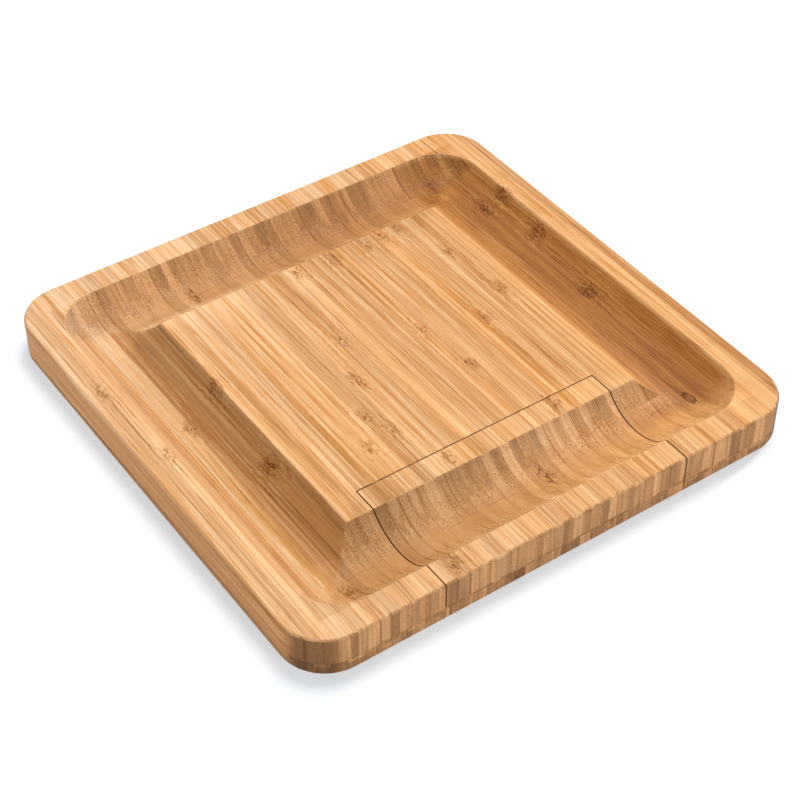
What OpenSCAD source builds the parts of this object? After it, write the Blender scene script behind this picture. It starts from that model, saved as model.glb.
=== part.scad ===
// Square bamboo cheese board with a cutlery drawer hidden in its front edge.
// The origin is the middle of the underside, +Z is up and the drawer pulls out towards -Y.

/* [Board] */
// Overall height of the board
board_height = 26; // [24:0.5:32]
// Plan radius of the four outer corners
corner_radius = 28; // [20:1:34]
// Radius of the eased outer edges, top and bottom
edge_round = 2; // [1:0.25:3]
// Thickness of the lower board of the body
bottom_thickness = 6; // [5:0.25:7]

/* [Moat] */
// Width of the flat rim round the moat
rim_width = 17.5; // [14:0.5:24]
// Width of the moat at its mouth
moat_width = 49; // [41:0.5:57]
// Wood left under the moat in the drawer's upper board
moat_floor = 4; // [3:0.1:6]
// Plan radius of the moat's middle line at the corners
moat_path_radius = 4.5; // [2:0.5:10]

/* [Drawer] */
// Width of the opening that the drawer fills
opening_width = 162.4; // [136:0.4:190]
// Width of the strip of the raised square that the drawer carries
strip_width = 16.2; // [13:0.1:20]
// Height of the glue joint between the drawer's two boards
drawer_joint_height = 9.8; // [8.4:0.1:11]
// Wood between the front block and the handles' butts
front_land = 4; // [3:0.5:8]
// Wood behind the tips of the blades
tail_land = 19.7; // [14:0.1:26]
// Wood between the outer pockets' share of the tray and its sides
side_land = 4.8; // [4:0.1:6]
// Wood between the tray's space and the moat behind it
back_land = 7; // [5:0.5:12]

/* [Fits] */
// Gap beside and behind the drawer
seam_gap = 0.4; // [0.2:0.05:0.7]
// Gap under the tray and above the runners
slide_gap = 0.3; // [0.2:0.05:0.5]
// Gap between the drawer's front block and the table
table_gap = 0.4; // [0.3:0.1:1]
// Gap between the tray and the deck above it
ceiling_gap = 0.5; // [0.3:0.1:1]
// Gap behind the tail of the tray
tail_gap = 1.5; // [1:0.5:4]
// Room above a handle in its pocket
handle_gap = 0.6; // [0.4:0.1:1.2]
// Gap round a tang in its handle and ferrule
tang_gap = 0.1; // [0.05:0.05:0.2]

/* [Runners] */
// Width of a runner strip
runner_width = 2.8; // [2:0.1:4]

/* [Cutlery] */
// Length of a handle
handle_length = 80; // [67:1:93]
// Width of a handle at its widest
handle_width = 17; // [14:0.5:19]
// Width of a handle where it meets its ferrule
handle_neck_width = 12.5; // [11:0.5:14]
// Thickness of a handle
handle_thickness = 7.8; // [6.5:0.1:9]
// Radius of a handle's long edges
handle_edge_round = 2.6; // [1.5:0.1:3]
// Length of a ferrule
ferrule_length = 7; // [5:0.5:9]
// Width of a ferrule
ferrule_width = 11.5; // [10:0.5:13]
// Thickness of a ferrule
ferrule_thickness = 6.4; // [5.6:0.1:7.4]
// Length of a blade in front of its ferrule
blade_length = 62; // [52:1:72]
// Thickness of the blade steel
blade_thickness = 1.5; // [1:0.1:2]
// Width of the tang
tang_width = 6; // [5:0.5:8]
// Length of the tang inside its handle
tang_length = 46; // [38:1:54]
// Width of the chisel blade at its cutting edge
chisel_width = 27; // [22:0.5:31]
// Width of the spade blade
spade_width = 24; // [20:0.5:28]
// Width of the fork
fork_width = 17; // [15:0.5:20]
// Width of the soft cheese blade
slicer_width = 21; // [18:0.5:24]

/* [Pockets] */
// Gap between a knife and the side of its pocket
pocket_gap = 1; // [0.6:0.1:1.4]
// Radius of the pocket corners at the blades
pocket_corner = 5; // [3:0.5:7]
// Front to back width of the finger trench across the handles
trench_width = 26; // [22:1:32]
// Radius of the trench's corners
trench_corner = 10; // [6:0.5:10.5]
// Wall left at each end of the finger trench
trench_wall = 10; // [8:0.5:12]

/* [Hidden] */
$fn = 64;

// Overrun of every cut
cut = 1;
quarter_turn = 90;

// The raised square covers the knife tray, 197 mm, and the moat and rim bring the board to 330
knife_length = handle_length + ferrule_length + blade_length;
tray_length = front_land + knife_length + tail_land;
raised_side = strip_width - seam_gap + tray_length + tail_gap + back_land;
board_side = raised_side + 2 * (moat_width + rim_width);

// Plan of the moat, and its section
front_y = -board_side / 2;
moat_mid = (raised_side + moat_width) / 2;
moat_depth = board_height - drawer_joint_height - moat_floor;
moat_arc_radius = (pow(moat_width / 2, 2) + pow(moat_depth, 2)) / (2 * moat_depth);

// Plan of the drawer and the space it slides in
opening_half = opening_width / 2;
drawer_half = opening_half - seam_gap;
opening_back_y = strip_width - raised_side / 2;
block_back_y = opening_back_y - seam_gap;
tail_y = block_back_y + tray_length;
cavity_back_y = tail_y + tail_gap;
floor_half = opening_half - runner_width - seam_gap;

// Heights inside the board
tray_bottom = bottom_thickness + slide_gap;
runner_top = drawer_joint_height - slide_gap;
pocket_depth = handle_thickness + handle_gap;
tray_top = drawer_joint_height + pocket_depth;
cavity_top = tray_top + ceiling_gap;

// The knives lie along Y, handles to the front, each in the middle of its share of the tray
blade_widths = [chisel_width, spade_width, fork_width, slicer_width];
knife_count = len(blade_widths);
knife_pitch = 2 * (drawer_half - side_land) / knife_count;
handle_y = block_back_y + front_land;
blade_y = handle_y + handle_length + ferrule_length;
blade_end_y = blade_y + blade_length;
knife_z = drawer_joint_height + handle_thickness / 2;
trench_place_share = 0.45;
trench_y = handle_y + trench_place_share * handle_length;

bamboo_light = [0.87, 0.69, 0.46];
bamboo_mid = [0.80, 0.61, 0.39];
bamboo_dark = [0.66, 0.46, 0.27];
steel = [0.75, 0.76, 0.78];

// Waste outside an eased edge whose sharp corner is at the origin
module edge_waste() {
    difference() {
        translate([-edge_round, -edge_round]) square(edge_round + cut);
        translate([-edge_round, -edge_round]) circle(edge_round);
    }
}

// Carries a profile round a rounded square, with the profile's X pointing outwards
module sweep_round_square(side, radius) {
    reach = side / 2;
    for (turn = [0 : 3])
        rotate(turn * quarter_turn) {
            translate([reach, reach - radius, 0]) rotate([quarter_turn, 0, 0])
                linear_extrude(side - 2 * radius) children();
            translate([reach - radius, reach - radius, 0])
                rotate_extrude(angle = quarter_turn) intersection() {
                    translate([radius, 0]) children();
                    translate([0, -board_height]) square(2 * board_height);
                }
        }
}

// Outer shape of the closed board, before it is cut into its pieces
module board_blank() {
    difference() {
        linear_extrude(board_height) {
            square([board_side - 2 * corner_radius, board_side], center = true);
            square([board_side, board_side - 2 * corner_radius], center = true);
            for (turn = [0 : 3])
                rotate(turn * quarter_turn)
                    translate([board_side / 2 - corner_radius, board_side / 2 - corner_radius])
                        circle(corner_radius);
        }
        translate([0, 0, board_height])
            sweep_round_square(board_side, corner_radius) edge_waste();
        sweep_round_square(board_side, corner_radius) mirror([0, 1]) edge_waste();
    }
}

module moat_cutter() {
    translate([0, 0, board_height])
        sweep_round_square(2 * moat_mid, moat_path_radius) intersection() {
            translate([0, moat_arc_radius - moat_depth]) circle(moat_arc_radius);
            translate([-moat_width, -moat_depth - cut])
                square([2 * moat_width, moat_depth + 2 * cut]);
        }
}

// Block between two places on each axis
module span(x0, x1, y0, y1, z0, z1) {
    translate([x0, y0, z0]) cube([x1 - x0, y1 - y0, z1 - z0]);
}

// Layer of the board between two heights
module board_layer(z0, z1) {
    intersection() {
        board_blank();
        span(-board_side, board_side, -board_side, board_side, z0, z1);
    }
}

module front_opening() {
    span(-opening_half, opening_half, front_y - cut, opening_back_y, -cut, board_height + cut);
}

module deck_board() {
    color(bamboo_light) difference() {
        board_layer(bottom_thickness, board_height + cut);
        moat_cutter();
        front_opening();
        span(-opening_half, opening_half, opening_back_y - cut, cavity_back_y, 0, cavity_top);
    }
}

module bottom_board() {
    color(bamboo_mid) difference() {
        board_layer(-cut, bottom_thickness);
        front_opening();
    }
}

// The left runner reaches the front face; the right one starts behind the front block
module left_runner() {
    runner_right_x = -opening_half + runner_width;
    color(bamboo_light) {
        intersection() {
            board_blank();
            span(-opening_half, runner_right_x, front_y - cut, opening_back_y, 0, runner_top);
        }
        span(-opening_half, runner_right_x, opening_back_y, cavity_back_y,
             bottom_thickness, runner_top);
    }
}

module right_runner() {
    color(bamboo_light)
        span(opening_half - runner_width, opening_half, opening_back_y, cavity_back_y,
             bottom_thickness, runner_top);
}

module drawer_top() {
    color(bamboo_light) difference() {
        union() {
            intersection() {
                board_blank();
                span(-drawer_half, drawer_half, front_y - cut, block_back_y,
                     drawer_joint_height, board_height + cut);
            }
            span(-drawer_half, drawer_half, block_back_y - cut, tail_y,
                 drawer_joint_height, tray_top);
        }
        moat_cutter();
        tray_pockets();
    }
}

module drawer_floor() {
    color(bamboo_mid) {
        intersection() {
            board_blank();
            span(-floor_half, drawer_half, front_y - cut, block_back_y,
                 table_gap, drawer_joint_height);
        }
        span(-floor_half, floor_half, block_back_y - cut, tail_y,
             tray_bottom, drawer_joint_height);
    }
}

// Rectangle with round corners between two places
module round_rect(x0, x1, y0, y1, radius) {
    translate([x0 + radius, y0]) square([x1 - x0 - 2 * radius, y1 - y0]);
    translate([x0, y0 + radius]) square([x1 - x0, y1 - y0 - 2 * radius]);
    for (x = [x0 + radius, x1 - radius], y = [y0 + radius, y1 - radius])
        translate([x, y]) circle(radius);
}

// Middle of a knife, counted from the left
function knife_x(i) = (i - (knife_count - 1) / 2) * knife_pitch;

// Knife shaped pockets right through the drawer's upper board, and the trench across them
module tray_pockets() {
    handle_half = handle_width / 2 + pocket_gap;
    trench_half = drawer_half - trench_wall;
    translate([0, 0, drawer_joint_height - cut]) linear_extrude(pocket_depth + 2 * cut) {
        for (i = [0 : knife_count - 1])
            translate([knife_x(i), 0]) {
                blade_half = blade_widths[i] / 2 + pocket_gap;
                round_rect(-handle_half, handle_half, handle_y - pocket_gap,
                           blade_y + handle_half, handle_width / 2);
                round_rect(-blade_half, blade_half, blade_y - pocket_corner,
                           blade_end_y + pocket_gap, pocket_corner);
            }
        round_rect(-trench_half, trench_half, trench_y - trench_width / 2,
                   trench_y + trench_width / 2, trench_corner);
    }
}

// Puts knife pieces that are drawn from the ferrule's front face onwards in their pocket
module in_pocket(i) {
    translate([knife_x(i), blade_y, knife_z]) children();
}

// Sheet steel with the blade's outline, and the tang that runs back into the handle
module blade() {
    translate([0, 0, -blade_thickness / 2]) linear_extrude(blade_thickness) {
        children();
        translate([-tang_width / 2, -ferrule_length - tang_length])
            square([tang_width, ferrule_length + tang_length + cut]);
    }
}

// Slot that the tang fills
module tang_slot() {
    slot_width = tang_width + 2 * tang_gap;
    slot_height = blade_thickness + 2 * tang_gap;
    translate([-slot_width / 2, -ferrule_length - tang_length - tang_gap, -slot_height / 2])
        cube([slot_width, ferrule_length + tang_length + tang_gap + cut, slot_height]);
}

// Rounded bar along Y that ends at the given place
module rounded_bar(width, thickness, y0, length, radius) {
    translate([0, y0 + length, 0]) rotate([quarter_turn, 0, 0]) linear_extrude(length)
        round_rect(-width / 2, width / 2, -thickness / 2, thickness / 2, radius);
}

module ferrule() {
    color(steel) difference() {
        rounded_bar(ferrule_width, ferrule_thickness, -ferrule_length, ferrule_length,
                    handle_edge_round);
        tang_slot();
    }
}

// Handle that swells from its neck to a round butt
module handle() {
    butt_radius = handle_width / 2;
    butt_y = -ferrule_length - handle_length + butt_radius;
    color(bamboo_dark) difference() {
        intersection() {
            rounded_bar(handle_width, handle_thickness, -ferrule_length - handle_length,
                        handle_length, handle_edge_round);
            translate([0, 0, -handle_thickness]) linear_extrude(2 * handle_thickness) {
                translate([0, butt_y]) circle(butt_radius);
                polygon([[-butt_radius, butt_y], [butt_radius, butt_y],
                         [handle_neck_width / 2, -ferrule_length],
                         [-handle_neck_width / 2, -ferrule_length]]);
            }
        }
        tang_slot();
    }
}

// Blade with a wide square cutting edge
module chisel_plan() {
    shoulder_share = 0.12;
    tip_round = 2 * blade_thickness;
    half_edge = chisel_width / 2;
    polygon([[-tang_width / 2, 0], [tang_width / 2, 0],
             [tang_width / 2, shoulder_share * blade_length],
             [half_edge, blade_length - tip_round],
             [half_edge - tip_round, blade_length], [tip_round - half_edge, blade_length],
             [-half_edge, blade_length - tip_round],
             [-tang_width / 2, shoulder_share * blade_length]]);
}

// Leaf shaped blade, widest near its root, with a point for breaking hard cheese
module spade_plan() {
    neck_share = 0.2;
    leaf_length = (1 - neck_share) * blade_length;
    belly = spade_width / 2;
    side_radius = (pow(leaf_length - belly, 2) + pow(belly, 2)) / (2 * belly);
    translate([-tang_width / 2, 0]) square([tang_width, blade_length - leaf_length + belly]);
    translate([0, blade_length - leaf_length + belly]) {
        circle(belly);
        intersection() {
            translate([side_radius - belly, 0]) circle(side_radius);
            translate([belly - side_radius, 0]) circle(side_radius);
            translate([-belly, 0]) square([spade_width, blade_length]);
        }
    }
}

// Fork with two long tines
module fork_plan() {
    palm_share = 0.3;
    tine_gap_share = 0.3;
    palm_y = palm_share * blade_length;
    tine_width = (1 - tine_gap_share) * fork_width / 2;
    gap = fork_width - 2 * tine_width;
    palm_round = fork_width / 2 - blade_thickness;
    difference() {
        union() {
            translate([-tang_width / 2, 0]) square([tang_width, palm_y]);
            round_rect(-fork_width / 2, fork_width / 2, palm_y - palm_round / 2,
                       blade_length + fork_width, palm_round);
        }
        translate([-gap / 2, palm_y + palm_round + gap / 2]) square([gap, 2 * blade_length]);
        translate([0, palm_y + palm_round + gap / 2]) circle(gap / 2);
        for (side = [-1, 1])
            polygon([[side * gap / 2, blade_length],
                     [side * fork_width / 2, blade_length - 2 * tine_width],
                     [side * fork_width, blade_length - 2 * tine_width],
                     [side * fork_width, blade_length + 2 * fork_width],
                     [side * gap / 2, blade_length + 2 * fork_width]]);
    }
}

// Soft cheese blade with holes that keep the slices from sticking
module slicer_plan() {
    neck_share = 0.14;
    corner_share = 0.35;
    hole_share = 0.28;
    hole_count = 4;
    body_y = neck_share * blade_length;
    hole_step = (blade_length - body_y) / hole_count;
    difference() {
        union() {
            translate([-tang_width / 2, 0]) square([tang_width, body_y + slicer_width / 2]);
            round_rect(-slicer_width / 2, slicer_width / 2, body_y, blade_length,
                       corner_share * slicer_width);
        }
        for (i = [0 : hole_count - 1])
            translate([0, body_y + (i + 0.5) * hole_step]) circle(hole_share * hole_step);
    }
}

module chisel_blade() { color(steel) in_pocket(0) blade() chisel_plan(); }
module chisel_ferrule() { in_pocket(0) ferrule(); }
module chisel_handle() { in_pocket(0) handle(); }
module spade_blade() { color(steel) in_pocket(1) blade() spade_plan(); }
module spade_ferrule() { in_pocket(1) ferrule(); }
module spade_handle() { in_pocket(1) handle(); }
module fork_blade() { color(steel) in_pocket(2) blade() fork_plan(); }
module fork_ferrule() { in_pocket(2) ferrule(); }
module fork_handle() { in_pocket(2) handle(); }
module slicer_blade() { color(steel) in_pocket(3) blade() slicer_plan(); }
module slicer_ferrule() { in_pocket(3) ferrule(); }
module slicer_handle() { in_pocket(3) handle(); }

deck_board();
bottom_board();
left_runner();
right_runner();
drawer_top();
drawer_floor();
chisel_blade();
chisel_ferrule();
chisel_handle();
spade_blade();
spade_ferrule();
spade_handle();
fork_blade();
fork_ferrule();
fork_handle();
slicer_blade();
slicer_ferrule();
slicer_handle();
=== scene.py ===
# Bamboo cheese board with a knife drawer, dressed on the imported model. Metres, +Z up, front at -Y.
import math
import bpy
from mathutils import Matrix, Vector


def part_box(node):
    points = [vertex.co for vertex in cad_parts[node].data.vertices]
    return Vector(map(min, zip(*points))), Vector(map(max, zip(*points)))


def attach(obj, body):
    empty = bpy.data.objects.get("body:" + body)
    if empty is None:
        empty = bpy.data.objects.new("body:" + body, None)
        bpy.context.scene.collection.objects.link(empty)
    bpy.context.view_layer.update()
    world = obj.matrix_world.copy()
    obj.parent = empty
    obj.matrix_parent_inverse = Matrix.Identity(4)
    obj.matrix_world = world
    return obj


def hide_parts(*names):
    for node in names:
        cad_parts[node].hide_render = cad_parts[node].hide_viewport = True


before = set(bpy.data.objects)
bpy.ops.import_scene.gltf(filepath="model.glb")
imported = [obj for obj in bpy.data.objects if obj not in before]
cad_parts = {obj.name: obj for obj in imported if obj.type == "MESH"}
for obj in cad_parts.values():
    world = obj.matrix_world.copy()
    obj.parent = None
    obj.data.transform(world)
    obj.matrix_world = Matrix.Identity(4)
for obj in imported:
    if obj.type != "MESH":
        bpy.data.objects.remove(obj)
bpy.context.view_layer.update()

from types import SimpleNamespace

import bmesh
import bpy
from mathutils import Matrix, Vector

mm = 0.001
quarterTurn = math.pi / 2
scene = bpy.context.scene
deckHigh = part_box("deck_board")[1]
drawerLow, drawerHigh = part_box("drawer_top")
floorLow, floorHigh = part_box("drawer_floor")

# Camera

view = {
    "turn": -34.71,  # degrees to the left of the drawer's front
    "rise": 42.82,  # degrees above the table
    "roll": -0.19,
    "distance": 1.129,
    "lens": 87.26,
    "sensor": 36,
    "aim": (-5.4 * mm, -14.7 * mm, 1.1 * mm),
}


def addCamera():
    turn, rise = math.radians(view["turn"]), math.radians(view["rise"])
    back = Vector((math.sin(turn) * math.cos(rise), -math.cos(turn) * math.cos(rise), math.sin(rise)))
    place = Matrix.Translation(Vector(view["aim"]) + back * view["distance"])
    look = back.to_track_quat("Z", "Y").to_matrix().to_4x4()
    camera = bpy.data.objects.new("camera", bpy.data.cameras.new("camera"))
    camera.data.lens = view["lens"]
    camera.data.sensor_width = view["sensor"]
    camera.matrix_world = place @ look @ Matrix.Rotation(math.radians(view["roll"]), 4, "Z")
    scene.collection.objects.link(camera)
    scene.camera = camera


# Floor and light

studio = {
    "floorSize": 8.0,
    "floorGap": 0.3 * mm,  # the paper would show through the underside without it
    "floorTone": (0.60, 0.60, 0.60),
    "floorRoughness": 0.9,
    "floorSheen": 0.1,
    "floorGlow": 0.47,  # the sheet is lit from below as well, so that shadows stay pale
    "floorGlowTone": (0.86, 0.95, 1.02),
    "skyTone": (0.97, 0.985, 1.0),
    "skyStrength": 0.50,
    # each light's place, size, power and tone
    "lights": {
        "top": ((0.44, 0.43, 2.1), 0.8, 27, (1.0, 0.98, 0.95)),
        "side": ((2.6, 0.55, 1.25), 0.55, 56, (1.0, 0.98, 0.94)),
        "front": ((0.4, -2.4, 1.0), 1.2, 7, (0.96, 0.98, 1.0)),
    },
}


def addLights():
    for name, (place, size, power, tone) in studio["lights"].items():
        place = Vector(place)
        lamp = bpy.data.lights.new(name + "Light", "AREA")
        lamp.shape = "DISK"
        lamp.size, lamp.energy, lamp.color = size, power, tone
        holder = bpy.data.objects.new(name + "Light", lamp)
        turn = place.to_track_quat("Z", "Y").to_matrix().to_4x4()
        holder.matrix_world = Matrix.Translation(place) @ turn
        scene.collection.objects.link(holder)


def addFloor():
    bm = bmesh.new()
    bmesh.ops.create_grid(bm, x_segments=1, y_segments=1, size=studio["floorSize"] / 2)
    bmesh.ops.translate(bm, vec=(0, 0, -studio["floorGap"]), verts=bm.verts)
    floor = newPiece("studioFloor", bm)
    paper = bpy.data.materials.new("paper")
    paper.use_nodes = True
    shader = paper.node_tree.nodes["Principled BSDF"]
    shader.inputs["Base Color"].default_value = (*studio["floorTone"], 1)
    shader.inputs["Roughness"].default_value = studio["floorRoughness"]
    shader.inputs["Specular IOR Level"].default_value = studio["floorSheen"]
    shader.inputs["Emission Color"].default_value = (*studio["floorGlowTone"], 1)
    shader.inputs["Emission Strength"].default_value = studio["floorGlow"]
    floor.data.materials.append(paper)


def addSky():
    world = bpy.data.worlds.new("studioSky")
    world.use_nodes = True
    sky = world.node_tree.nodes["Background"]
    sky.inputs["Color"].default_value = (*studio["skyTone"], 1)
    sky.inputs["Strength"].default_value = studio["skyStrength"]
    scene.world = world
    scene.view_settings.view_transform = "Standard"


def newPiece(name, bm):
    mesh = bpy.data.meshes.new(name)
    bm.to_mesh(mesh)
    bm.free()
    piece = bpy.data.objects.new(name, mesh)
    scene.collection.objects.link(piece)
    return piece


addCamera()
addFloor()
addSky()
addLights()
print("camera, floor and light are set")

# Short hands for laying out a material. They work on the node tree of the one begun last.


def newMaterial(name):
    global tree
    material = bpy.data.materials.new(name)
    material.use_nodes = True
    tree = material.node_tree
    return material, tree.nodes["Principled BSDF"]


def plug(socket, value):
    if isinstance(value, bpy.types.NodeSocket):
        tree.links.new(value, socket)
    else:
        socket.default_value = value


def newNode(kind, *values, **named):
    node = tree.nodes.new("ShaderNode" + kind)
    for socket, value in zip(node.inputs, values):
        plug(socket, value)
    for name, value in named.items():
        plug(node.inputs[name], value)
    return node


def calc(operation, *values):
    node = newNode("Math", *values)
    node.operation = operation
    return node.outputs[0]


def times(first, *others):
    for other in others:
        first = calc("MULTIPLY", first, other)
    return first


def minus(first, second):
    return calc("SUBTRACT", first, second)


def larger(first, second):
    return calc("MAXIMUM", first, second)


def apart(first, second):
    return calc("ABSOLUTE", minus(first, second))


def centred(share):
    # from 0 to 1 becomes from -0.5 to 0.5
    return minus(share, 0.5)


def weigh(*pairs):
    # sum of values, each times its weight
    total = None
    for value, weight in pairs:
        part = times(value, weight)
        total = part if total is None else calc("ADD", total, part)
    return total


def fade(value, start, end, fromShare=0.0, toShare=1.0):
    node = newNode("MapRange", value, start, end, fromShare, toShare)
    node.interpolation_type = "SMOOTHSTEP"
    return node.outputs[0]


def spread(share, low, high):
    return fade(share, 0.0, 1.0, low, high)


def tint(share, first, second, way="MIX"):
    node = newNode("Mix")
    node.data_type = "RGBA"
    node.blend_type = way
    for index, value in ((0, share), (6, first), (7, second)):
        if isinstance(value, tuple):
            value = (*value, 1)
        plug(node.inputs[index], value)
    return node.outputs[2]


def scaleColour(colour, factor):
    return tint(1.0, colour, factor, "MULTIPLY")


# mixes towards the colour times a factor: for stains and grain, and for painted light and shade
def stainAndShade(share, colour, factor):
    return tint(share, colour, scaleColour(colour, factor))


def point(x, y, z):
    return newNode("CombineXYZ", x, y, z).outputs[0]


def split(vector):
    return newNode("SeparateXYZ", vector).outputs


def cloud(vector, scale, detail=2.0, roughness=0.5):
    return newNode("TexNoise", Vector=vector, Scale=scale, Detail=detail, Roughness=roughness).outputs[0]


def grainCloud(x, y, z, layer):
    # a layer has its scale and its speed along the grain, and perhaps its detail and roughness
    scale, speed, *rest = layer
    return cloud(point(x, times(y, speed), z), scale, *rest)


def drawLots(number):
    noise = newNode("TexWhiteNoise")
    noise.noise_dimensions = "1D"
    plug(noise.inputs["W"], number)
    return newNode("SeparateColor", noise.outputs["Color"]).outputs


def lengthOf(u, v):
    node = newNode("VectorMath", point(u, v, 0.0))
    node.operation = "LENGTH"
    return node.outputs["Value"]


def locate():
    # place on the piece in mm, and where the surface faces
    coords = newNode("TexCoord")
    inMm = newNode("VectorMath", coords.outputs["Object"])
    inMm.operation = "SCALE"
    plug(inMm.inputs["Scale"], 1 / mm)
    return inMm.outputs[0], coords.outputs["Normal"]


def roughen(shader, height, strength, depth):
    bump = newNode("Bump", Strength=strength, Distance=depth, Height=height)
    plug(shader.inputs["Normal"], bump.outputs[0])


# Bamboo. Lengths here are in mm, scales per mm, and a fade goes from its first number to its second.

strips = {
    "width": 6.2,
    "start": 0.4,  # the first strip starts this far outside the board's left edge
    "wander": 15.0,  # how far the joints swing
    "wanderScale": 0.09,
    "lowerLayer": 8.5,  # the boards are glued from two layers of strips
    "layerShift": 0.43,  # of a strip
    "layerLots": 61.0,  # the lower layer draws lots of its own
    "seedStep": 3.7,
    "lotStep": 17.3,
    "toneReach": (0.90, 1.08),
    "hues": ((1.01, 0.985, 0.95), (0.99, 1.01, 1.05)),
}
fibres = {
    "alongShare": 0.012,  # how much slower everything changes along the grain
    "heightShare": 0.7,
    "shift": 90.0,  # each strip has fibres of its own
    "wide": (0.11, 2.0, 1.5, 0.5),
    "middle": (0.45, 1.0, 2.0, 0.6),
    "fine": (1.6, 1.5, 2.0, 0.7),
    "hairs": (0.9, 1.6, 2.0, 0.75),
    "weights": (0.27, 0.44, 0.29),
    "grainFade": (0.355, 0.645),
    "livelyShare": 0.15,
    "livelyFade": (0.35, 0.65, 0.55, 1.35),
    "streak": (0.46, 0.185, 0.033),
    "honey": (0.60, 0.283, 0.090),
    "honeyPlace": 0.42,
    "pale": (0.74, 0.43, 0.185),
    "palePlace": 0.95,
    "hairFade": (0.40, 0.30),
    "hairTint": (0.64, 0.48, 0.32),
    "whiteFade": (0.61, 0.71, 0.0, 0.6),
    "white": (0.86, 0.60, 0.31),
    "roughFade": (0.3, 0.7, 0.44, 0.58),
    "endRough": 0.12,
    "sheen": 0.22,
    "bumpStrength": 0.3,
    "bumpDepth": 0.12 * mm,
    "bumpWeights": (0.8, -0.4, 0.8, -0.6),
}
endGrain = {
    "colour": (0.54, 0.292, 0.130),
    "slope": (0.60, 0.322, 0.128),
    "slopeFade": (0.15, 0.85, 0.84, 1.12),
    "toneFade": (0.15, 0.85, 0.78, 1.16),
    "hues": ((1.02, 0.98, 0.94), (1.0, 1.02, 1.04)),
    "deepBlur": (0.1, 0.6, 0.0, 0.6),
    "slopeBlur": (0.03, 0.25, 0.0, 0.5),
    "lobeReach": (-0.2, -1.6),
    "backLitPower": 2.0,  # a surface that faces back shows less of it, as painted light where the back light falls
    "lotWeight": 0.24,
    "ragWeight": 0.4,
    "fade": (0.18, 0.72),
    "bands": (0.4, 0.5, 1.0),
    "bandHeight": 0.04,
    "bandFade": (0.4, 0.6, 0.86, 1.08),
    "lobeLineFade": (0.5, 0.1),
    "lobeLotFade": (0.3, 0.9, 0.0, 0.45),
    "lobeDeepFade": (0.2, 0.4),
}
specks = {
    "ends": (1.5, 0.6, 1.5, 0.7),
    "cutFade": (0.0, 0.14),
    "fade": (0.38, 0.62, -0.5, 0.5),
    "patches": (0.12, 0.5, 1.0),
    "patchFade": (0.35, 0.65, 0.5, 1.15),
    "wallShare": 0.6,
    "darkTint": (0.75, 0.66, 0.55),
    "paleTint": (1.12, 1.15, 1.19),
}
joints = {
    "fade": (0.41, 0.48),
    "lotFade": (0.1, 1.0, 0.1, 0.55),
    "cutReach": (0.6, 1.8),
    "moatReach": (1.0, 1.2),
    "layerFade": (0.5, 0.2),
    "layerShare": 0.4,
}
walls = {
    "fade": (0.5, 0.2),
    "tint": (1.0, 0.93, 0.86),
    "toneReach": (0.84, 1.16),
    # painted shade on the left face
    "leftShadeFade": (5, 1),
    "leftPaintedLighting": (0.90, 0.86, 0.78),
    "cornerFade": (0.12, 0.45),
    "cornerSteepness": 0.6,
    "cornerTint": (0.46, 0.42, 0.37),
}
knuckles = {
    "half": (3.8, 8.0),  # across the grain and along it
    "run": 420.0,  # where they aren't listed, a strip has one along this run
    "tint": (0.52, 0.37, 0.14),
    "fade": (1.2, 0.3),
    "rag": (0.5, 0.4),
    "ragWeight": 2.0,
    "pullFade": (3.4, 0.3),  # the grain bends round them
    "swirlAcross": 1.3,
    "swirl": (0.3, 0.5),
    "bend": 6.0,
    "dashes": (1.4, 0.26, 1.5, 0.6),
    "dashFade": (0.53, 0.43, 0.12, 1.0),
    "none": 99.0,  # farther than any of them
    # strip counted from the board's left edge, and the place along the strip
    "places": (
        (25, 92), (29, 90), (33, 90), (35, 92), (37, 94), (39, 58), (23, 23), (30, 6), (40, 10), (21, -7),
        (36, -7), (31, -34), (19, -37), (20, -52), (17, -59), (22, -90), (34, -89), (15, -154), (1, 65),
        (2, 0), (6, 21), (44, 115), (10, 33),
    ),
    "darkPlaces": (
        (49, 46), (47.8, -14), (47.6, 90), (49.6, 86), (45.4, 128), (9, -34), (15, -154), (29, -122),
        (7, -133), (16, 120),
    ),
    "darkHalf": (4.8, 9.5),
    "darkTint": (0.68, 0.55, 0.34),
    "darkFade": (1.0, 0.2),
    "darkRagWeight": 2.4,
    "darkDashFade": (0.56, 0.42, 0.15, 0.95),
}
knot = {
    # a round knot in the moat, pale inside a dark ragged rim, with a dark line behind it
    "strip": 46,
    "along": -119.5,
    "half": (3.0, 5.2),
    "tint": (0.18, 0.10, 0.04),
    "ragWeight": 1.1,
    "outerFade": (1.1, 0.9),
    "innerFade": (0.45, 0.85, 0.25, 0.8),
    "tailAside": 2.4,
    "tailHalf": 0.55,
    "tailCore": 0.3,
    "tailFade": (32.0, 6.0, 0.0, 0.7),
    "tailStart": -2.0,
}
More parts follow.
